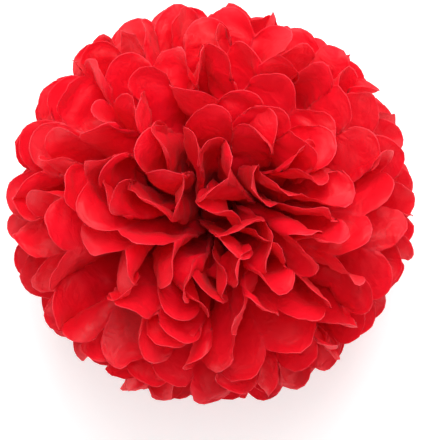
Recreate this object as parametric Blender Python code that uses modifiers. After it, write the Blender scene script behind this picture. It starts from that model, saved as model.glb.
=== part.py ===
"""Tissue paper pom pom: a stack of accordion folded sheets, tied at the middle with wire and fanned into a ball."""

from math import cos, pi, radians, sin

import bmesh
import bpy
from mathutils import Vector

# Driving dimensions, in metres and degrees.
SHEETS = 10              # sheets in the stack, five pulled up and five pulled down
PANELS = 17              # accordion panels across each end of a sheet
SHEET_WIDTH = 0.500      # flat width, along which the sheet is folded
SHEET_LENGTH = 0.250     # flat length, from petal tip to petal tip
PAPER = 0.0001           # thickness of each sheet's solid
NECK_HALF = 0.003        # half the length that the tie grips
NECK_WIDTH = 0.010       # width of the gathered strip inside the tie
NECK_FLAT = 0.0015       # how far the gathered strip stays level each side of the wire
STACK_PITCH = 0.0010     # from one sheet to the next inside the tie
HUB_RADIUS = 0.010       # where the straight pleats start
FIRST_CONE = 13.5        # polar angle of the innermost sheet's cone
CONE_STEP = 17.0         # polar angle from one sheet to the next
TIP_POINTS = 5           # points on each petal's round end, between its two notches
TIP_PRESS = 0.0006       # how much of the lowest petal tips is pressed level
WIRE_RADIUS = 0.00045    # florist's wire, 0.9 mm
WIRE_GAP = 0.0003        # clearance from the wire to the paper and to itself
STEM_LENGTH = 0.092      # twisted pair from the bundle out to the eye
PIGTAIL_LENGTH = 0.014   # twisted ends on the other side
TWIST_PITCH = 0.016      # length of one turn of the twisted pair
TWIST_POINTS = 6         # points on each turn
EYE_RADIUS = 0.0042      # the hanging eye, to the wire's centre
EYE_OPENING = 30         # half the angle of the eye that is left open towards the stem
BEND_RADIUS = 0.0012     # the wire's bends over the bundle's corners
BEND_STEPS = 3
EYE_STEPS = 10
TABLE_SIDE = 0.2         # block that presses the lowest petal tips level
RED = (0.80, 0.008, 0.020, 1.0)
STEEL = (0.45, 0.46, 0.47, 1.0)

# Worked out from them.
PANEL_WIDTH = SHEET_WIDTH / PANELS
TIP_RADIUS = SHEET_LENGTH / 2 - NECK_HALF
PANEL_ANGLE = PANEL_WIDTH / TIP_RADIUS       # between a panel's two creases, seen from the hub
PANEL_TURN = pi / PANELS                     # azimuth that each panel takes up
NOTCH_RADIUS = TIP_RADIUS - PANEL_WIDTH / 2  # the round ends are half circles
CENTRE_HEIGHT = TIP_RADIUS * cos(radians(FIRST_CONE)) - TIP_PRESS
BUNDLE_TOP = (SHEETS - 1) / 2 * STACK_PITCH + PAPER + WIRE_GAP + WIRE_RADIUS   # to the wire's centre
BUNDLE_SIDE = NECK_WIDTH / 2 + WIRE_GAP + WIRE_RADIUS                          # to the wire's centre
TWIST_START = BUNDLE_SIDE + 3 * WIRE_RADIUS


def cone_angle(sheet):
    return radians(FIRST_CONE + CONE_STEP * sheet)


def direction(polar, azimuth):
    """Unit vector; polar is measured from +Z and azimuth from +X."""
    return Vector((sin(polar) * cos(azimuth), sin(polar) * sin(azimuth), cos(polar)))


def pleat_swing(sheet):
    """Half the polar angle between neighbouring creases that leaves each panel its full width."""
    taken = sin(cone_angle(sheet)) * PANEL_TURN
    return (PANEL_ANGLE**2 - taken**2) ** 0.5 / 2


def ray(sheet, crease, swing):
    """Direction of a crease from the hub: the creases stand above and below the sheet's cone by turns."""
    side = 1 if crease % 2 else -1
    return direction(cone_angle(sheet) + side * swing, crease * PANEL_TURN - pi / 2)


def hub(height):
    return Vector((NECK_HALF, 0.0, height))


def crease_point(sheet, crease, row):
    """Grid rows run from the tie's middle (0) over its level grip (1) and the hub (2) to the notch (3)."""
    if row < 2:
        across = (crease / PANELS - 0.5) * NECK_WIDTH
        level = ((SHEETS - 1) / 2 - sheet) * STACK_PITCH
        return Vector((row * NECK_FLAT, across, CENTRE_HEIGHT + level))
    if row == 2:
        return hub(CENTRE_HEIGHT) + HUB_RADIUS * ray(sheet, crease, 0.0)
    return hub(CENTRE_HEIGHT) + NOTCH_RADIUS * ray(sheet, crease, pleat_swing(sheet))


def round_tip(bm, sheet, left, right):
    """Closes one panel's end with a half round petal."""
    middle = (left.co + right.co) / 2
    outward = (middle - hub(CENTRE_HEIGHT)).normalized()
    rise = TIP_RADIUS - (middle - hub(CENTRE_HEIGHT)).length
    across = (right.co - left.co) / 2
    arc = []
    for i in range(1, TIP_POINTS + 1):
        turn = pi * i / (TIP_POINTS + 1)
        arc.append(bm.verts.new(middle - across * cos(turn) + outward * rise * sin(turn)))
    bm.faces.new([right, left, *arc])


def half_sheet_mesh(sheet):
    """One end of a sheet, from the tie's middle to the petal tips: a grid whose columns are the creases."""
    rows = 3
    bm = bmesh.new()
    bmesh.ops.create_grid(bm, x_segments=PANELS, y_segments=rows, size=0.5)
    rim = {}
    for vert in list(bm.verts):
        crease = round((vert.co.x + 0.5) * PANELS)
        row = round((vert.co.y + 0.5) * rows)
        vert.co = crease_point(sheet, crease, row)
        if row == rows:
            rim[crease] = vert
    for crease in range(PANELS):
        round_tip(bm, sheet, rim[crease], rim[crease + 1])
    bmesh.ops.triangulate(bm, faces=bm.faces)   # so both faces of the paper split along the same diagonals
    bmesh.ops.recalc_face_normals(bm, faces=bm.faces)
    mesh = bpy.data.meshes.new("half_sheet")
    bm.to_mesh(mesh)
    bm.free()
    return mesh


def make_sheet(sheet, parts, paint, table):
    obj = bpy.data.objects.new(f"tissue_sheet_{sheet + 1:02d}", half_sheet_mesh(sheet))
    parts.objects.link(obj)
    obj.data.materials.append(paint)
    mirror = obj.modifiers.new("other_end", "MIRROR")
    mirror.use_axis = (True, False, False)
    mirror.merge_threshold = 0.00001
    solid = obj.modifiers.new("paper", "SOLIDIFY")
    solid.thickness = PAPER
    solid.offset = 0.0
    solid.solidify_mode = "NON_MANIFOLD"
    solid.nonmanifold_thickness_mode = "CONSTRAINTS"
    if sheet == SHEETS - 1:
        level = obj.modifiers.new("pressed_tips", "BOOLEAN")
        level.operation = "DIFFERENCE"
        level.object = table
    return obj


def table_cutter(cutters):
    """A block whose top is the level that the lowest petal tips are pressed to."""
    bpy.ops.mesh.primitive_cube_add(size=TABLE_SIDE, location=(0.0, 0.0, -TABLE_SIDE / 2))
    table = bpy.context.active_object
    table.name = "table"
    table.hide_render = True
    table.display_type = "WIRE"
    for owner in list(table.users_collection):
        owner.objects.unlink(table)
    cutters.objects.link(table)
    return table


def twisted(start, end, phase):
    """One strand of a twisted pair that lies along Y, from start to end."""
    turns = abs(end - start) / TWIST_PITCH
    count = round(turns * TWIST_POINTS)
    offset = WIRE_RADIUS + WIRE_GAP / 2
    points = []
    for i in range(count + 1):
        along = start + (end - start) * i / count
        turn = phase + 2 * pi * (abs(along) - TWIST_START) / TWIST_PITCH
        points.append(Vector((offset * sin(turn), along, offset * cos(turn))))
    return points


def over_bundle(side):
    """The wire's way over one face of the bundle, from -Y to +Y."""
    points = []
    for end in (-1, 1):
        bend = []
        for i in range(BEND_STEPS + 1):
            turn = pi / 2 * i / BEND_STEPS
            y = BUNDLE_SIDE - BEND_RADIUS + BEND_RADIUS * cos(turn)
            z = BUNDLE_TOP - BEND_RADIUS + BEND_RADIUS * sin(turn)
            bend.append(Vector((0.0, end * y, side * z)))
        points += bend if end < 0 else bend[::-1]
    return points


def eye(top):
    """The loop at the stem's end, from the lower strand round to the upper one."""
    opening = radians(EYE_OPENING)
    centre = top + EYE_RADIUS * cos(opening)
    points = []
    for i in range(EYE_STEPS + 1):
        turn = opening + (2 * pi - 2 * opening) * i / EYE_STEPS
        points.append(Vector((0.0, centre - EYE_RADIUS * cos(turn), EYE_RADIUS * sin(turn))))
    return points


def wire_path():
    """One wire: pigtail, over the bundle, up the stem, round the eye and back under the bundle."""
    stem_end = TWIST_START + STEM_LENGTH
    tail_end = TWIST_START + PIGTAIL_LENGTH
    over = twisted(-tail_end, -TWIST_START, 0.0) + over_bundle(1) + twisted(TWIST_START, stem_end, 0.0)
    under = twisted(-tail_end, -TWIST_START, pi) + over_bundle(-1) + twisted(TWIST_START, stem_end, pi)
    loop = eye(stem_end)
    if (loop[0] - over[-1]).length > (loop[-1] - over[-1]).length:
        loop.reverse()
    return over + loop + under[::-1]


def make_wire(parts, steel):
    curve = bpy.data.curves.new("wire_tie", "CURVE")
    curve.dimensions = "3D"
    curve.bevel_depth = WIRE_RADIUS
    curve.bevel_resolution = 2
    curve.use_fill_caps = True
    path = wire_path()
    spline = curve.splines.new("POLY")
    spline.points.add(len(path) - 1)
    for point, place in zip(spline.points, path):
        point.co = (*place, 1.0)
    obj = bpy.data.objects.new("wire_tie", curve)
    obj.location = (0.0, 0.0, CENTRE_HEIGHT)
    curve.materials.append(steel)
    parts.objects.link(obj)
    return obj


def material(name, colour, roughness, metallic):
    made = bpy.data.materials.new(name)
    made.use_nodes = True
    shader = made.node_tree.nodes["Principled BSDF"]
    shader.inputs["Base Color"].default_value = colour
    shader.inputs["Roughness"].default_value = roughness
    shader.inputs["Metallic"].default_value = metallic
    return made


def collection(name):
    made = bpy.data.collections.new(name)
    bpy.context.scene.collection.children.link(made)
    return made


def main():
    for obj in list(bpy.data.objects):
        bpy.data.objects.remove(obj)
    parts = collection("tissue_pom_pom")
    table = table_cutter(collection("cutters"))
    paint = material("tissue_paper", RED, 0.75, 0.0)
    steel = material("wire", STEEL, 0.35, 1.0)
    for sheet in range(SHEETS):
        make_sheet(sheet, parts, paint, table)
    make_wire(parts, steel)


main()
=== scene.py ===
from math import cos, pi, radians, sin

import bpy
import numpy as np
from mathutils import Matrix, Vector


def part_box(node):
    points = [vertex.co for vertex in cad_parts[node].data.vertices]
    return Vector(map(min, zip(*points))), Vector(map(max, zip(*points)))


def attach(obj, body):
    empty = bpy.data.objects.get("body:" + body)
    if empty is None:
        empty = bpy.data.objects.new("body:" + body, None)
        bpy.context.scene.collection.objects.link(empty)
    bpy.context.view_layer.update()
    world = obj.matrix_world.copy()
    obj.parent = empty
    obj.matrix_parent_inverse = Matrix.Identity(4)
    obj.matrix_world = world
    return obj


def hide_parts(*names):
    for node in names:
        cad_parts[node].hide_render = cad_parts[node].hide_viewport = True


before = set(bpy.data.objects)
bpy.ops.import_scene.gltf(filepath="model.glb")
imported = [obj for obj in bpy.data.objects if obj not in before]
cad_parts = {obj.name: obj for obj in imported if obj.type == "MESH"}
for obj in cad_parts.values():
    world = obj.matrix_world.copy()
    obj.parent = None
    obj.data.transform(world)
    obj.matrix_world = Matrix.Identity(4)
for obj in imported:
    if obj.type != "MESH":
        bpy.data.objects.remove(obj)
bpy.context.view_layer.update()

bpy.ops.object.select_all(action="DESELECT")
print("frame loaded")

# the ten sheets as they are cut and tied
tissue = {
    "sheets": 10,
    "panels": 17,                     # between the folds, across each end of a sheet
    "width": 0.500,
    "length": 0.250,
    "cutArea": 0.1218,                # after the ends are rounded
    "paper": 0.0001,
    "tie": 0.003,                     # half the length that the wire grips
    "tieWidth": 0.009,
    "tieStack": 0.0010,               # from one sheet to the next inside the tie
    "tieLevel": 0.0015,               # the strip stays level this far on each side of the wire
    "tieZigzag": 0.00025,             # half the height of its squeezed folds
    "hub": 0.008,                     # where the pleats start to open
    "fullWidth": 0.060,               # the crushed pleats reach their full width here
    "crush": 0.6,
    "columns": 6,                     # grid steps across a panel
    "rows": 22,                       # grid steps from the tie to a petal's tip
}


def tieHeight():
    low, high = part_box("wire_tie")
    return (low.z + high.z) / 2


centreHeight = tieHeight()
panelWidth = tissue["width"] / tissue["panels"]
tipReach = tissue["length"] / 2 - tissue["tie"]


def flatGrid(split=1):
    # the grid on the flat sheet: across the folds, outwards from the tie, and how far each round tip reaches
    step = tissue["columns"] * split
    column = np.arange(tissue["panels"] * step + 1)
    turn = pi * (column % step) / step
    across = (column // step) * panelWidth + panelWidth * (1 - np.cos(turn)) / 2
    tip = tipReach - panelWidth / 2 * (1 - np.sin(turn))
    part = np.linspace(0, 1, tissue["rows"] * split + 1)
    outward = tissue["hub"] + (tip[:, None] - tissue["hub"]) * part[None, :]
    return across, outward, tip


def gathered(outward):
    return np.minimum(1, outward / tissue["fullWidth"]) ** tissue["crush"]


# how the pleats stand before the sheets are pulled apart
folding = {
    "cones": (18.0, 36.5, 53.5, 69.0, 83.3),   # polar angle of each pulled up sheet
    "boxPleats": 0.90,                # share of the folds in pairs, so that the panel between lies open
    "openShare": 1.7,                 # turn that such a panel takes, against the others
    "shutShare": 0.5,
    "leastSwing": 0.25,               # part of a panel's width that always goes into its swing
    "unevenFolds": 0.40,
    "unevenSheets": 0.22,
    "overlap": 4.0,                   # degrees past a half turn, on each side of an end
    "poleSway": 9.0,                  # degrees, at the petals' tips
    "swayWaves": 3,
    "swaySizes": (0.5, 1.0),
    "swayFolds": (4.0, 9.0),          # folds along one wave
    "swayEnd": 4.5,                   # the sway dies out this many sheets away from the pole
}


def sways(rng):
    # slow swings of the folds to and from the pole, alike in one quarter so that its sheets stay nested
    fold = np.arange(tissue["panels"] + 1)
    made = {}
    for quarter in ((0, 0), (0, 1), (1, 0), (1, 1)):
        total = 0
        for wave in range(folding["swayWaves"]):
            size = rng.uniform(*folding["swaySizes"])
            folds = rng.uniform(*folding["swayFolds"])
            total = total + size * np.sin(fold * 2 * pi / folds + rng.uniform(0, 2 * pi))
        made[quarter] = total / 2 * radians(folding["poleSway"])
    return made


def foldSides(rng):
    # which folds stand towards the pole and which away from it, singly or in pairs
    sides = []
    while len(sides) <= tissue["panels"]:
        side = -sides[-1] if sides else 1.0
        sides += [side] * (2 if rng.uniform() < folding["boxPleats"] else 1)
    return np.array(sides[:tissue["panels"] + 1])


def foldedEnd(cone, share, sides, sway, lower, end):
    # one end of a sheet as a pleated half cone
    across, outward, tip = flatGrid()
    panels = tissue["panels"]
    width = panelWidth * gathered(outward)
    spread = pi + 2 * radians(folding["overlap"])
    share = share / share.sum() * spread
    turns = np.concatenate([[0], np.cumsum(share)]) - spread / 2
    panel = np.minimum(np.arange(len(across)) // tissue["columns"], panels - 1)
    part = ((across - panel * panelWidth) / panelWidth)[:, None]
    leastSwing = (folding["leastSwing"] * width) ** 2

    def crease(fold):
        swing = 0
        for side in (np.maximum(fold - 1, 0), np.minimum(fold, panels - 1)):
            taken = outward * sin(cone) * share[side][:, None]
            swing = swing + np.sqrt(np.maximum(width**2 - taken**2, leastSwing)) / 4
        up = sides[fold][:, None]
        polar = cone + up * swing / outward + sway[fold][:, None] * outward / tipReach
        turn = turns[fold][:, None]
        return np.stack([np.sin(polar) * np.cos(turn), np.sin(polar) * np.sin(turn), np.cos(polar)])

    shape = crease(panel) * (1 - part) + crease(panel + 1) * part
    shape *= outward / np.sqrt((shape**2).sum(0))
    shape[0] += tissue["tie"]
    if end:
        shape[0] *= -1
    if lower:
        shape[2] *= -1
    return shape


def foldedSheets(rng):
    # all ends of all sheets, as (3, ends, columns, rows)
    sheets = tissue["sheets"]
    sides = [foldSides(rng) for end in (0, 1)]
    folds = []
    for side in sides:
        share = np.where(side[1:] == side[:-1], folding["openShare"], folding["shutShare"])
        folds.append(share * (1 + folding["unevenFolds"] * rng.uniform(-1, 1, tissue["panels"])))
    sway = sways(rng)
    ends = []
    for sheet in range(sheets):
        level = min(sheet, sheets - 1 - sheet)
        cone = radians(folding["cones"][level])
        lower = sheet >= sheets // 2
        for end in (0, 1):
            share = folds[end] * (1 + folding["unevenSheets"] * rng.uniform(-1, 1, tissue["panels"]))
            swing = sway[(int(lower), end)] * (1 - level / folding["swayEnd"])
            side = sides[end] * (-1 if lower else 1)
            ends.append(foldedEnd(cone, share, side, swing, lower, end))
    return np.stack(ends, axis=1)


# how the tied sheets are pulled apart by hand
fluffing = {
    "seed": 3,
    "steps": 150,
    "quickSteps": 12,
    "passes": 2,
    "grain": 1e-7,                    # rounding that keeps every run alike
    "waves": 30,                      # swirls that carry the petals about
    "waveSizes": (0.050, 0.100),
    "wander": 0.00025,                # strength of the swirls, in each step
    "wanderUntil": 0.55,              # part of the run
    "wanderFade": 2.5,
    "reachPower": 1.5,                # how much more the tips move than what is near the tie
    "lean": (0.0, 0.0, 0.00012, 0.00016, 0.00016),   # away from the pole, for each pulled up sheet
    "leanUntil": 0.8,
    "leanSoft": 0.3,                  # eases the lean right at the pole
    "gap": 0.017,                     # room that a petal keeps to its neighbours at its tip
    "gapFade": 2.0,
    "gapStart": 0.040,
    "wideGap": 0.007,                 # with more room than this every second point will do
    "searchEvery": 5,                 # steps from one search for near points to the next
    "searchShare": 1.15,
    "besideShare": 1.6,               # of the room needed: points this near on the flat sheet may touch
    "farShare": 1.25,
    "push": 0.25,                     # part of the missing room that a point makes up in a pass
    "crowd": 2.5,                     # contacts that a point answers in full
    "shear": 0.6,                     # across the grid's squares, against 1 along its lines
    "stiffness": 0.2,                 # against bending, over these spans of grid steps
    "spans": ((2, 0), (3, 0), (0, 2), (0, 5)),
    "tableGap": 0.0006,
}


def paperLinks():
    # lengths the paper keeps: along its grid, across its squares, and over longer spans against sharp bends
    across, outward, tip = flatGrid()
    columns, rows = outward.shape
    gather = gathered(outward)
    every = slice(None)
    links = []

    def flatLength(c0, c1, r0, r1):
        aside = (across[c1] - across[c0])[:, None] * (gather[c0][:, r0] + gather[c1][:, r1]) / 2
        return np.sqrt(aside**2 + (outward[c1][:, r1] - outward[c0][:, r0]) ** 2)

    def link(dc, dr, stiff, bend=False):
        for group in range(2 * max(dc, dr)):      # links of one group share no point
            if dc:                                # bends are eased within a panel and not over its folds
                c0 = np.arange(group, columns - dc, 2 * dc)
                c1 = c0 + dc
                near = slice(max(0, -dr), rows - max(0, dr))
                far = slice(max(0, dr), rows - max(0, -dr))
                start = (every, every, slice(group, columns - dc, 2 * dc), near)
                stop = (every, every, slice(group + dc, columns, 2 * dc), far)
                length = flatLength(c0, c1, np.arange(rows)[near], np.arange(rows)[far])
                onePanel = (c0 // tissue["columns"] == (c1 - 1) // tissue["columns"])[:, None]
            else:
                r0 = np.arange(group, rows - dr, 2 * dr)
                start = (every, every, every, slice(group, rows - dr, 2 * dr))
                stop = (every, every, every, slice(group + dr, rows, 2 * dr))
                length = flatLength(np.arange(columns), np.arange(columns), r0, r0 + dr)
                onePanel = 1.0
            links.append((start, stop, length, stiff * onePanel if bend else stiff, bend))

    link(1, 0, 1.0)
    link(0, 1, 1.0)
    link(1, 1, fluffing["shear"])
    link(1, -1, fluffing["shear"])
    for dc, dr in fluffing["spans"]:
        link(dc, dr, fluffing["stiffness"], bend=True)
    return links


def spanOf(way):
    return np.sqrt(way[0] ** 2 + way[1] ** 2 + way[2] ** 2) + 1e-9   # never zero, as it is divided by


def keepLength(points, start, stop, length, stiff, bend):
    way = points[stop] - points[start]
    off = 1 - length / spanOf(way)
    if bend:
        off = np.minimum(off, 0)
    way *= 0.5 * stiff * off
    points[start] += way
    points[stop] -= way


def closePairs(points, reach):
    # pairs of points nearer than reach, found by sorting the points into cells
    cell = np.floor(points / reach).astype(np.int64)
    cell -= cell.min(1, keepdims=True) - 1
    size = cell.max(1) + 2
    key = (cell[0] * size[1] + cell[1]) * size[2] + cell[2]
    order = np.argsort(key, kind="stable")
    ordered = key[order]
    first, second = [], []
    for dx, dy in ((0, 0), (0, 1), (1, -1), (1, 0), (1, 1)):
        wanted = key + (dx * size[1] + dy) * size[2]
        low = np.searchsorted(ordered, wanted - 1, "left")
        count = np.searchsorted(ordered, wanted + 1, "right") - low
        i = np.repeat(np.arange(len(key)), count)
        j = order[np.repeat(low - np.cumsum(count) + count, count) + np.arange(count.sum())]
        if (dx, dy) == (0, 0):
            i, j = i[i < j], j[i < j]
        near = ((points[:, i] - points[:, j]) ** 2).sum(0) < reach**2
        first.append(i[near])
        second.append(j[near])
    return np.concatenate(first), np.concatenate(second)


def petalPoints(shape):
    # the grid points that keep room around them: where they are in the grid and on the flat sheet
    across, outward, tip = flatGrid()
    out = np.broadcast_to(outward, shape).ravel()
    side = np.broadcast_to(across[None, :, None], shape).ravel()
    room = fluffing["gap"] * (out / tipReach) ** fluffing["gapFade"]
    end, column, row = np.indices(shape).reshape(3, -1)
    second = (column % 2 == 0) & ((shape[2] - 1 - row) % 2 == 0)
    index = np.where((out > fluffing["gapStart"]) & (second | (room < fluffing["wideGap"])))[0]
    return {"index": index, "end": end[index], "out": out[index], "side": side[index], "room": room[index]}


def contacts(points, petals):
    # pairs of petal points that come near each other, and the room that they need
    flat = points.reshape(3, -1)[:, petals["index"]]
    i, j = closePairs(flat, fluffing["gap"] * fluffing["searchShare"])
    need = (petals["room"][i] + petals["room"][j]) / 2
    beside = petals["end"][i] == petals["end"][j]
    beside &= abs(petals["side"][i] - petals["side"][j]) < fluffing["besideShare"] * need
    beside &= abs(petals["out"][i] - petals["out"][j]) < fluffing["besideShare"] * need
    far = ((flat[:, i] - flat[:, j]) ** 2).sum(0) > (fluffing["farShare"] * need) ** 2
    keep = ~(beside | far)
    return petals["index"][i[keep]], petals["index"][j[keep]], need[keep]


def keepApart(points, first, second, need):
    flat = points.reshape(3, -1)
    way = flat[:, second] - flat[:, first]
    now = spanOf(way)
    way *= fluffing["push"] * np.maximum(need / now - 1, 0)
    touching = (now < need).astype(float)
    size = flat.shape[1]
    count = np.bincount(first, touching, size) + np.bincount(second, touching, size)
    ease = 1 / np.maximum(1, count / fluffing["crowd"])
    for axis in range(3):
        moved = np.bincount(second, way[axis], size) - np.bincount(first, way[axis], size)
        flat[axis] += moved * ease
    return flat.reshape(points.shape)


def handSwirls(rng):
    # smooth swirls over the ball that carry the petals about without pushing one through another
    count = fluffing["waves"]
    way = rng.normal(size=(count, 3))
    way /= np.linalg.norm(way, axis=1)[:, None]
    size = rng.uniform(*fluffing["waveSizes"], count)
    return way * (2 * pi / size)[:, None], way, rng.uniform(0, 2 * pi, (count, 1))


def swirled(points, weight, part, swirl, push, phase):
    flat = points.reshape(3, -1)
    ray = flat / spanOf(flat)
    drift = np.cross(ray, push.T @ np.cos(swirl @ ray * tipReach + phase), axis=0)
    ease = min(1, fluffing["wanderFade"] * (1 - part / fluffing["wanderUntil"]))
    return points + drift.reshape(points.shape) * weight * fluffing["wander"] * ease


def leaned(points, weight, lean):
    ray = points / spanOf(points)
    away = ray * ray[2]
    away[2] -= 1
    away *= np.sign(ray[2]) / (np.sqrt((away**2).sum(0)) + fluffing["leanSoft"])
    return points + away * lean * weight**2


def fluff(points, rng):
    tied = points[..., 0].copy()
    links = paperLinks()
    swirls = handSwirls(rng)
    weight = (np.sqrt((points**2).sum(0)) / tipReach) ** fluffing["reachPower"]
    petals = petalPoints(points.shape[1:])
    end = np.arange(points.shape[1])
    level = np.minimum(end // 2, end[::-1] // 2)
    lean = np.array(fluffing["lean"])[level][:, None, None]
    steps = fluffing["steps"]
    for step in range(steps):
        part = step / steps
        if part < fluffing["wanderUntil"]:
            points = swirled(points, weight, part, *swirls)
        if part < fluffing["leanUntil"]:
            points = leaned(points, weight, lean)
        if step % fluffing["searchEvery"] == 0:
            first, second, need = contacts(points, petals)
        for again in range(fluffing["passes"]):
            points = keepApart(points, first, second, need)
            for link in links:
                keepLength(points, *link)
            points[..., 0] = tied
            np.maximum(points[2], fluffing["tableGap"] - centreHeight, out=points[2])
        points = np.round(points / fluffing["grain"]) * fluffing["grain"]
    return points


# the fine surface of the crumpled paper
crumple = {
    "seed": 5,
    "split": 2,                       # each grid step is split in this many
    "tipRows": (0.0022, 0.0008),      # narrow rows along the cut edge
    "waves": ((0.024, 0.00080), (0.012, 0.00034)),         # length and height
    "fineWaves": ((0.0085, 0.00022), (0.0058, 0.00016)),
    "fineShare": (0.4, 0.8, 1.3, 1.7, 1.9),   # the outer sheets are handled most
    "wavesEach": 7,
    "waveSpread": (0.7, 1.4),
    "beatPace": 0.37,                 # a wave's crests stand closer and wider by turns, this often
    "beatSize": 1.2,
    "smoothUntil": 0.050,             # the crumples grow from the tie out to here
    "curl": 0.0062,
    "curlLength": 0.018,
    "tableGap": 0.0004,
    "patternScale": 2.0,              # from metres on the flat sheet to the pattern's units
    "patternStart": 0.5,
}


def smoothSplit(grid, axis, split):
    # Catmull-Rom curve through the grid along one axis
    grid = np.moveaxis(grid, axis, 0)
    ends = np.concatenate([2 * grid[:1] - grid[1:2], grid, 2 * grid[-1:] - grid[-2:-1]])
    a, b, c, d = ends[:-3], ends[1:-2], ends[2:-1], ends[3:]
    made = np.empty((len(b) * split + 1,) + grid.shape[1:])
    for i in range(split):
        t = i / split
        line = 2 * b + (c - a) * t
        square = (2 * a - 5 * b + 4 * c - d) * t**2
        cube = (3 * b - a - 3 * c + d) * t**3
        made[i:-1:split] = 0.5 * (line + square + cube)
    made[-1] = grid[-1]
    return np.moveaxis(made, 0, axis)


def fineEnd(points):
    # the fluffed grid (3, columns, rows) drawn finer, panel by panel so that the folds stay sharp
    step = tissue["columns"]
    parts = []
    for panel in range(tissue["panels"]):
        part = smoothSplit(points[:, panel * step:(panel + 1) * step + 1], 1, crumple["split"])
        parts.append(part if panel == tissue["panels"] - 1 else part[:, :-1])
    return smoothSplit(np.concatenate(parts, axis=1), 2, crumple["split"])


def addTipRows(grid, outward, tip):
    # swaps the last row step for narrow rows along the cut edge
    inner = outward[:, -2]
    rows = [grid[..., :-1]]
    flats = [outward[:, :-1]]
    for inset in crumple["tipRows"]:
        part = (tip - inset - inner) / (tip - inner)
        rows.append((grid[..., -2] + (grid[..., -1] - grid[..., -2]) * part)[..., None])
        flats.append((tip - inset)[:, None])
    rows.append(grid[..., -1:])
    flats.append(tip[:, None])
    return np.concatenate(rows, axis=-1), np.concatenate(flats, axis=1)


def normals(grid):
    across = np.gradient(grid, axis=1)
    outward = np.gradient(grid, axis=2)
    normal = np.cross(across, outward, axis=0)
    return normal / (np.sqrt((normal**2).sum(0)) + 1e-12)


def crumpled(grid, across, outward, fineShare, rng):
    # soft waves and fine crinkles along the normal, and a small curl of each petal's tip
    height = np.zeros(outward.shape)
    fine = tuple((size, tall * fineShare) for size, tall in crumple["fineWaves"])
    for size, tall in crumple["waves"] + fine:
        for wave in range(crumple["wavesEach"]):
            turn = rng.uniform(0, pi)
            pace = 2 * pi / (size * rng.uniform(*crumple["waveSpread"]))
            along = across[:, None] * cos(turn) + outward * sin(turn)
            phase = pace * along + rng.uniform(0, 2 * pi)
            beat = np.sin(phase * crumple["beatPace"] + rng.uniform(0, 2 * pi))
            height += tall / 2 * np.arcsin(np.sin(phase + crumple["beatSize"] * beat)) * (2 / pi)
    step = tissue["columns"] * crumple["split"]
    panel = np.minimum(np.arange(len(across)) // step, tissue["panels"] - 1)
    curl = rng.uniform(-1, 1, tissue["panels"])[panel] * crumple["curl"]
    middle = np.sin(pi * (across / panelWidth - panel)) ** 2
    near = np.clip(1 - (outward[:, -1:] - outward) / crumple["curlLength"], 0, 1)
    height += (curl * middle)[:, None] * near**2
    height *= np.clip(outward / crumple["smoothUntil"], 0, 1) ** 2
    return grid + normals(grid) * height


def tiedStrip(sheet, columns):
    # the gathered strip inside the wire, from -X to +X
    part = np.arange(columns) / (columns - 1)
    fold = part * tissue["panels"]
    zigzag = tissue["tieZigzag"] * (2 * abs(fold - 2 * np.round(fold / 2)) - 1)
    strip = np.zeros((3, columns, 3))
    strip[0] = np.array([-tissue["tieLevel"], 0.0, tissue["tieLevel"]])[None, :]
    strip[1] = ((part - 0.5) * tissue["tieWidth"])[:, None]
    strip[2] = ((tissue["sheets"] - 1) / 2 - sheet) * tissue["tieStack"] + zigzag[:, None]
    return strip


def sheetGrid(sheet, east, west, rng):
    # the whole sheet through the tie: places, distance from its middle, and distance from its cut edge
    across, outward, tip = flatGrid(crumple["split"])
    fineShare = crumple["fineShare"][min(sheet, tissue["sheets"] - 1 - sheet)]
    halves = []
    for half in (east, west):
        grid, flat = addTipRows(fineEnd(half), outward, tip)
        halves.append(crumpled(grid, across, flat, fineShare, rng))
    strip = tiedStrip(sheet, len(across))
    grid = np.concatenate([halves[1][..., ::-1], strip, halves[0]], axis=2)
    grid[2] = np.maximum(grid[2] + centreHeight, crumple["tableGap"])
    inTie = np.zeros((len(across), strip.shape[2]))
    out = np.concatenate([-flat[:, ::-1], inTie, flat], axis=1)
    edge = tip[:, None] - flat
    rim = np.concatenate([edge[:, ::-1], inTie + tipReach, edge], axis=1)
    return grid, out, rim


def gridMesh(name, grid):
    columns, rows = grid.shape[1:]
    index = np.arange(columns * rows).reshape(columns, rows)
    corners = [index[:-1, :-1], index[1:, :-1], index[1:, 1:], index[:-1, 1:]]
    mesh = bpy.data.meshes.new(name)
    mesh.from_pydata(grid.reshape(3, -1).T.tolist(), [], np.stack(corners, -1).reshape(-1, 4).tolist())
    mesh.polygons.foreach_set("use_smooth", [True] * len(mesh.polygons))
    return mesh


def markFolds(mesh, rows):
    # the edges along the folds stay sharp
    step = tissue["columns"] * crumple["split"]
    ends = np.empty(len(mesh.edges) * 2, dtype=np.int64)
    mesh.edges.foreach_get("vertices", ends)
    column = ends.reshape(-1, 2) // rows
    sharp = mesh.attributes.new("sharp_edge", "BOOLEAN", "EDGE")
    sharp.data.foreach_set("value", (column[:, 0] == column[:, 1]) & (column[:, 0] % step == 0))


def markPaper(mesh, out, rim):
    # distances from the cut edge and from the folds, and the flat sheet as a map, all for the material
    across = flatGrid(crumple["split"])[0]
    fold = abs(across / panelWidth - np.round(across / panelWidth)) * panelWidth
    for name, value in (("rim", rim), ("fold", np.broadcast_to(fold[:, None], out.shape))):
        distance = mesh.attributes.new(name, "FLOAT", "POINT")
        distance.data.foreach_set("value", value.ravel())
    corner = np.empty(len(mesh.loops), dtype=np.int64)
    mesh.loops.foreach_get("vertex_index", corner)
    place = np.stack([np.broadcast_to(across[:, None], out.shape).ravel(), out.ravel()], -1)
    flat = mesh.uv_layers.new(name="flat")
    flat.data.foreach_set("uv", (place[corner] * crumple["patternScale"] + crumple["patternStart"]).ravel())


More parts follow.
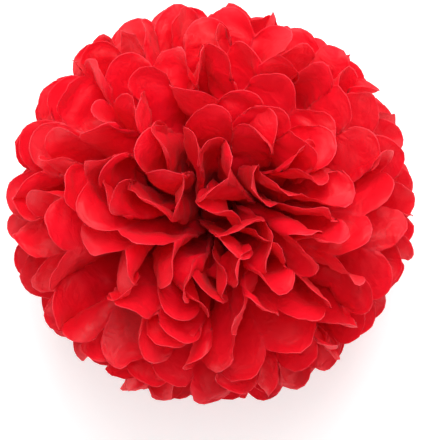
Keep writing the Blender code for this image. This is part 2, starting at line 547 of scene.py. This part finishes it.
def addSheet(sheet, fluffed, paint, rng):
    name = f"tissueSheet{sheet + 1:02d}"
    grid, out, rim = sheetGrid(sheet, fluffed[:, 2 * sheet], fluffed[:, 2 * sheet + 1], rng)
    mesh = gridMesh(name, grid)
    markFolds(mesh, out.shape[1])
    markPaper(mesh, out, rim)
    piece = bpy.data.objects.new(name, mesh)
    bpy.context.scene.collection.objects.link(piece)
    piece.data.materials.append(paint)
    bpy.ops.object.select_all(action="DESELECT")
    piece.select_set(True)
    bpy.context.view_layer.objects.active = piece
    wall = piece.modifiers.new("paper", "SOLIDIFY")
    wall.thickness = tissue["paper"]
    wall.offset = 0.0
    bpy.ops.object.modifier_apply(modifier=wall.name)
    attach(piece, "root")
    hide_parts(f"tissue_sheet_{sheet + 1:02d}")


def feed(tree, node, inputs):
    # inputs are plain values, or other nodes' outputs to join
    for name, value in inputs.items():
        if isinstance(value, bpy.types.NodeSocket):
            tree.links.new(value, node.inputs[name])
        else:
            node.inputs[name].default_value = value


def addNode(tree, kind, inputs, output=0, **settings):
    node = tree.nodes.new(kind)
    for name, value in settings.items():
        setattr(node, name, value)
    feed(tree, node, inputs)
    return node.outputs[output]


redPaper = {
    "deep": (0.76, 0.0006, 0.0130, 1.0),
    "body": (0.90, 0.0028, 0.0260, 1.0),
    # painted highlight colour along the cut edge, also laid more weakly along the folds
    "rim": (0.92, 0.050, 0.085, 1.0),
    "through": (0.96, 0.130, 0.185, 1.0),   # light that has come through the paper
    "throughShare": 0.42,
    "rough": (0.42, 0.60),
    "specular": 0.43,
    "sheen": 0.06,
    "sheenRough": 0.45,
    "sheenTint": (1.0, 0.72, 0.72, 1.0),
    "cloudScale": 26.0,
    "cloudDetail": 3.0,
    "fibreScale": 150.0,
    "fibreDetail": 6.0,
    "fibreRough": 0.65,
    "fibreShare": 0.35,
    "toneRange": (0.45, 0.95),
    "edgeHighlightWidth": 0.0007,
    "foldWidth": 0.0009,
    "foldPale": 0.45,
    "crinkle": 0.65,
    "crinkleHeight": 0.0022,
    "crinkleScale": 42.0,
    "crinkleDetail": 2.0,
    "crinkleRough": 0.55,
    "crinkleTwist": 0.6,
    "fibreHeight": 0.15,              # against the crinkles
}


def edgeHighlightAndFoldLines(tree):
    # painted highlight: the paper is paler along its cut edge, and paler lines run along its folds
    lines = []
    for name, width, pale in (("rim", "edgeHighlightWidth", 1.0), ("fold", "foldWidth", redPaper["foldPale"])):
        distance = addNode(tree, "ShaderNodeAttribute", {}, "Fac", attribute_name=name)
        lines.append(addNode(tree, "ShaderNodeMapRange", {
            "Value": distance,
            "From Min": redPaper[width],
            "From Max": 0.0,
            "To Max": pale,
        }, "Result", interpolation_type="SMOOTHSTEP"))
    return addNode(tree, "ShaderNodeMath", {0: lines[0], 1: lines[1]}, operation="MAXIMUM")


def crinkles(tree, flat, fibre):
    # folded noise gives the creases of handled tissue, the fibres a faint grain
    wrinkle = addNode(tree, "ShaderNodeTexNoise", {
        "Vector": flat,
        "Scale": redPaper["crinkleScale"],
        "Detail": redPaper["crinkleDetail"],
        "Roughness": redPaper["crinkleRough"],
        "Distortion": redPaper["crinkleTwist"],
    }, "Fac")
    middle = addNode(tree, "ShaderNodeMath", {0: wrinkle, 1: 0.5}, operation="SUBTRACT")
    ridge = addNode(tree, "ShaderNodeMath", {0: middle}, operation="ABSOLUTE")
    relief = addNode(tree, "ShaderNodeMath", {0: fibre, 1: redPaper["fibreHeight"], 2: ridge},
                     operation="MULTIPLY_ADD")
    return addNode(tree, "ShaderNodeBump", {
        "Strength": redPaper["crinkle"],
        "Distance": redPaper["crinkleHeight"],
        "Height": relief,
    }, "Normal")


def mixed(tree, amount, first, second):
    return addNode(tree, "ShaderNodeMix", {"Factor": amount, "A": first, "B": second}, "Result",
                   data_type="RGBA")


def paperColour(tree, fibre):
    place = addNode(tree, "ShaderNodeTexCoord", {}, "Object")
    cloud = addNode(tree, "ShaderNodeTexNoise", {
        "Vector": place,
        "Scale": redPaper["cloudScale"],
        "Detail": redPaper["cloudDetail"],
    }, "Fac")
    blotch = addNode(tree, "ShaderNodeMath", {0: fibre, 1: redPaper["fibreShare"], 2: cloud},
                     operation="MULTIPLY_ADD")
    tone = addNode(tree, "ShaderNodeMapRange", {
        "Value": blotch,
        "From Min": redPaper["toneRange"][0],
        "From Max": redPaper["toneRange"][1],
    }, "Result")
    return mixed(tree, tone, redPaper["deep"], redPaper["body"])


def tissueMaterial():
    material = bpy.data.materials.new("redTissue")
    material.use_nodes = True
    tree = material.node_tree
    tree.nodes.clear()
    flat = addNode(tree, "ShaderNodeUVMap", {}, "UV", uv_map="flat")
    fibre = addNode(tree, "ShaderNodeTexNoise", {
        "Vector": flat,
        "Scale": redPaper["fibreScale"],
        "Detail": redPaper["fibreDetail"],
        "Roughness": redPaper["fibreRough"],
    }, "Fac")
    # mask for the painted highlight along the cut edges, and for the paler folds
    pale = edgeHighlightAndFoldLines(tree)
    normal = crinkles(tree, flat, fibre)
    gloss = addNode(tree, "ShaderNodeMapRange", {
        "Value": fibre,
        "To Min": redPaper["rough"][0],
        "To Max": redPaper["rough"][1],
    }, "Result")
    paper = addNode(tree, "ShaderNodeBsdfPrincipled", {
        "Base Color": mixed(tree, pale, paperColour(tree, fibre), redPaper["rim"]),
        "Roughness": gloss,
        "Specular IOR Level": redPaper["specular"],
        "Sheen Weight": redPaper["sheen"],
        "Sheen Roughness": redPaper["sheenRough"],
        "Sheen Tint": redPaper["sheenTint"],
        "Normal": normal,
    }, "BSDF")
    # the painted edge highlight pales the light through the paper as well
    through = addNode(tree, "ShaderNodeBsdfTranslucent", {
        "Color": mixed(tree, pale, redPaper["through"], redPaper["rim"]),
        "Normal": normal,
    }, "BSDF")
    both = addNode(tree, "ShaderNodeMixShader", {"Fac": redPaper["throughShare"], 1: paper, 2: through})
    feed(tree, tree.nodes.new("ShaderNodeOutputMaterial"), {"Surface": both})
    return material


steelWire = {
    "dark": (0.36, 0.36, 0.37, 1.0),
    "bright": (0.56, 0.57, 0.58, 1.0),
    "rough": (0.28, 0.42),
    "markStretch": (900.0, 90.0, 900.0),   # drawing marks, long along the wire's run
    "markScale": 2.0,
    "markDetail": 4.0,
    "markDepth": 0.2,
    "markHeight": 0.00005,
}


def wireMaterial():
    material = bpy.data.materials.new("bareWire")
    material.use_nodes = True
    tree = material.node_tree
    place = addNode(tree, "ShaderNodeTexCoord", {}, "Object")
    stretch = addNode(tree, "ShaderNodeMapping", {"Vector": place, "Scale": steelWire["markStretch"]})
    drawn = addNode(tree, "ShaderNodeTexNoise", {
        "Vector": stretch,
        "Scale": steelWire["markScale"],
        "Detail": steelWire["markDetail"],
    }, "Fac")
    gloss = addNode(tree, "ShaderNodeMapRange", {
        "Value": drawn,
        "To Min": steelWire["rough"][0],
        "To Max": steelWire["rough"][1],
    }, "Result")
    marks = addNode(tree, "ShaderNodeBump", {
        "Strength": steelWire["markDepth"],
        "Distance": steelWire["markHeight"],
        "Height": drawn,
    }, "Normal")
    feed(tree, tree.nodes["Principled BSDF"], {
        "Base Color": mixed(tree, drawn, steelWire["dark"], steelWire["bright"]),
        "Metallic": 1.0,
        "Roughness": gloss,
        "Normal": marks,
    })
    return material


floor = {
    "size": 6.0,
    "colour": (0.93, 0.93, 0.93, 1.0),
    "rough": 0.8,
    "glow": 0.46,
}


def addFloor():
    bpy.ops.mesh.primitive_plane_add(size=floor["size"], location=(0, 0, 0))
    plane = bpy.context.active_object
    plane.name = "floor"
    material = bpy.data.materials.new("paleFloor")
    material.use_nodes = True
    tree = material.node_tree
    feed(tree, tree.nodes["Principled BSDF"], {
        "Base Color": floor["colour"],
        "Roughness": floor["rough"],
        "Emission Color": (1, 1, 1, 1),
        "Emission Strength": floor["glow"],
    })
    plane.data.materials.append(material)


light = {
    "skyTop": 0.36,                   # dim above, bright all round at the height of the table
    "skySide": 5.60,
    "sideHeight": 0.22,
    "keyPlace": (0.06, 0.60, 1.00),
    "keySize": 0.60,
    "keyPower": 10.0,
    "overPlace": (0.04, 0.24, 1.30),  # a weaker light almost overhead
    "overSize": 0.35,
    "overPower": 2.6,
    "redBounces": 12,                 # light wanders far between thin red sheets
    "allBounces": 16,
}


def addSky():
    world = bpy.data.worlds.new("studio")
    world.use_nodes = True
    tree = world.node_tree
    way = addNode(tree, "ShaderNodeTexCoord", {}, "Generated")
    height = addNode(tree, "ShaderNodeSeparateXYZ", {"Vector": way}, "Z")
    strength = addNode(tree, "ShaderNodeMapRange", {
        "Value": height,
        "From Min": 0.0,
        "From Max": light["sideHeight"],
        "To Min": light["skySide"],
        "To Max": light["skyTop"],
    }, "Result", interpolation_type="SMOOTHSTEP")
    feed(tree, tree.nodes["Background"], {"Color": (1, 1, 1, 1), "Strength": strength})
    bpy.context.scene.world = world


def addLamps():
    for name in ("key", "over"):
        bpy.ops.object.light_add(type="AREA", location=light[name + "Place"])
        lamp = bpy.context.active_object
        lamp.name = name + "Light"
        lamp.data.size = light[name + "Size"]
        lamp.data.energy = light[name + "Power"]
        aim = Vector((0, 0, centreHeight)) - lamp.location
        lamp.rotation_euler = aim.to_track_quat("-Z", "Y").to_euler()


view = {
    "lens": 143.0,
    "sensor": 36.0,
    "distance": 1.05,
    "tilt": 3.5,                      # degrees away from straight above
    "tiltTurn": 50.0,
    "aim": (0.0, -0.009, 0.118),
}


def addCamera():
    tilt = radians(view["tilt"])
    turn = radians(view["tiltTurn"])
    away = Vector((sin(tilt) * sin(turn), sin(tilt) * cos(turn), cos(tilt)))
    bpy.ops.object.camera_add(location=Vector(view["aim"]) + away * view["distance"])
    camera = bpy.context.active_object
    camera.name = "camera"
    camera.data.lens = view["lens"]
    camera.data.sensor_width = view["sensor"]
    toward = (-away).normalized()
    up = (Vector((0, 1, 0)) - toward * toward.y).normalized()
    right = toward.cross(up)
    camera.rotation_mode = "QUATERNION"
    camera.rotation_quaternion = Matrix((right, up, -toward)).transposed().to_quaternion()
    bpy.context.scene.camera = camera


addFloor()
addSky()
addLamps()
addCamera()
bpy.context.scene.view_settings.view_transform = "Standard"
bpy.context.scene.cycles.diffuse_bounces = light["redBounces"]
bpy.context.scene.cycles.max_bounces = light["allBounces"]
print("floor, light and camera in place")

fluffRandom = np.random.default_rng(fluffing["seed"])
fluffed = fluff(foldedSheets(fluffRandom), fluffRandom)
print("sheets fluffed")

crumpleRandom = np.random.default_rng(crumple["seed"])
paint = tissueMaterial()
for sheet in range(tissue["sheets"]):
    addSheet(sheet, fluffed, paint, crumpleRandom)
print("sheets made")

wire = bpy.data.objects["wire_tie"]
wire.data.materials.clear()
wire.data.materials.append(wireMaterial())
print("wire finished")
